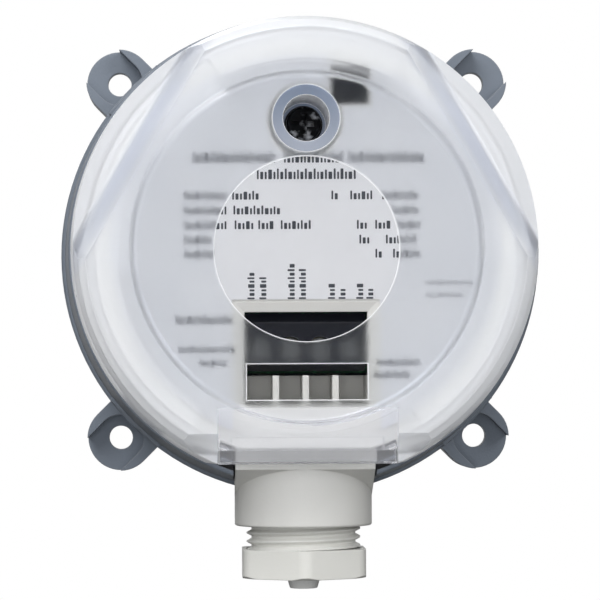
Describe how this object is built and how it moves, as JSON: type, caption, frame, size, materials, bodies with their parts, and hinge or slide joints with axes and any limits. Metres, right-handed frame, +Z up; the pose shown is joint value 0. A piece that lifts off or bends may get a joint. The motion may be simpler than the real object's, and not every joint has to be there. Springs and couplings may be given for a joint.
{
  "type": "pressure transmitter",
  "caption": "Round wall-mounted differential pressure transmitter: dark housing with ears and hose nozzles, frosted screw-down cover with clear windows, and a cable gland below",
  "frame": {"origin": "centre of the four ear holes, on the mounting plane", "axes": "+Z up, towards the cover screw; -Y out of the wall, towards the reader of the label; +X to that reader's right"},
  "size_m": [0.085, 0.0546, 0.101],
  "materials": {
    "housing_plastic": "dark blue-grey ABS, fine spark texture",
    "carrier_plastic": "light grey ABS, satin",
    "cover_polycarbonate": "clear polycarbonate, frosted with polished windows",
    "black_rubber": "matt black rubber",
    "blackened_steel": "black oxide, slight sheen",
    "label_film": "printed polyester film",
    "board_laminate": "green solder mask",
    "black_polyamide": "black moulded polyamide",
    "plated_steel": "zinc-plated steel",
    "clamp_brass": "nickel-plated brass",
    "sensor_plastic": "off-white moulding",
    "chip_epoxy": "black moulded epoxy",
    "can_aluminium": "drawn aluminium cans",
    "chip_ceramic": "glazed chip resistors",
    "gland_polyamide": "light grey polyamide, satin",
    "seal_rubber": "grey rubber",
    "hose_silicone": "translucent silicone"
  },
  "bodies": {
    "housing": {"rear_housing": "housing_plastic", "terminal_housing": "carrier_plastic", "cover_gasket": "black_rubber", "label": "label_film", "circuit_board": "board_laminate", "terminal_block": "black_polyamide", "terminal_screws": "plated_steel", "terminal_clamps": "clamp_brass", "pressure_sensor": "sensor_plastic", "signal_processor": "chip_epoxy", "voltage_regulator": "chip_epoxy", "filter_capacitors": "can_aluminium", "chip_resistors": "chip_ceramic", "range_header": "black_polyamide", "range_jumper": "black_polyamide", "board_screws": "plated_steel", "housing_screws": "plated_steel", "high_pressure_hose": "hose_silicone", "low_pressure_hose": "hose_silicone"},
    "cover": {"cover": "cover_polycarbonate"},
    "screw_carriage": {"screw_seal": "black_rubber"},
    "screw": {"cover_screw": "blackened_steel"},
    "gland_carriage": {"gland_seal": "seal_rubber", "gland_thrust_ring": "gland_polyamide"},
    "nut": {"gland_nut": "gland_polyamide"}
  },
  "joints": [
    {"name": "cover_lift", "type": "slide", "parent": "housing", "child": "cover", "axis": [0, -1, 0], "range_m": [0, 0.03]},
    {"name": "screw_rise", "type": "slide", "parent": "cover", "child": "screw_carriage", "axis": [0, -1, 0], "range_m": [0, 0.007]},
    {"name": "screw_turn", "type": "hinge", "parent": "screw_carriage", "child": "screw", "pos_m": [0, -0.04, 0.0217], "axis": [0, -1, 0], "range_deg": [0, 1801]},
    {"name": "nut_advance", "type": "slide", "parent": "housing", "child": "gland_carriage", "axis": [0, 0, 1], "range_m": [-0.0015, 0.0015]},
    {"name": "nut_turn", "type": "hinge", "parent": "gland_carriage", "child": "nut", "pos_m": [0, -0.029, -0.054], "axis": [0, 0, 1], "range_deg": [-361, 361]}
  ],
  "couplings": [
    {"joint": "screw_turn", "follows": "screw_rise", "rad_per_m": 4488},
    {"joint": "nut_turn", "follows": "nut_advance", "rad_per_m": 4188.8}
  ]
}
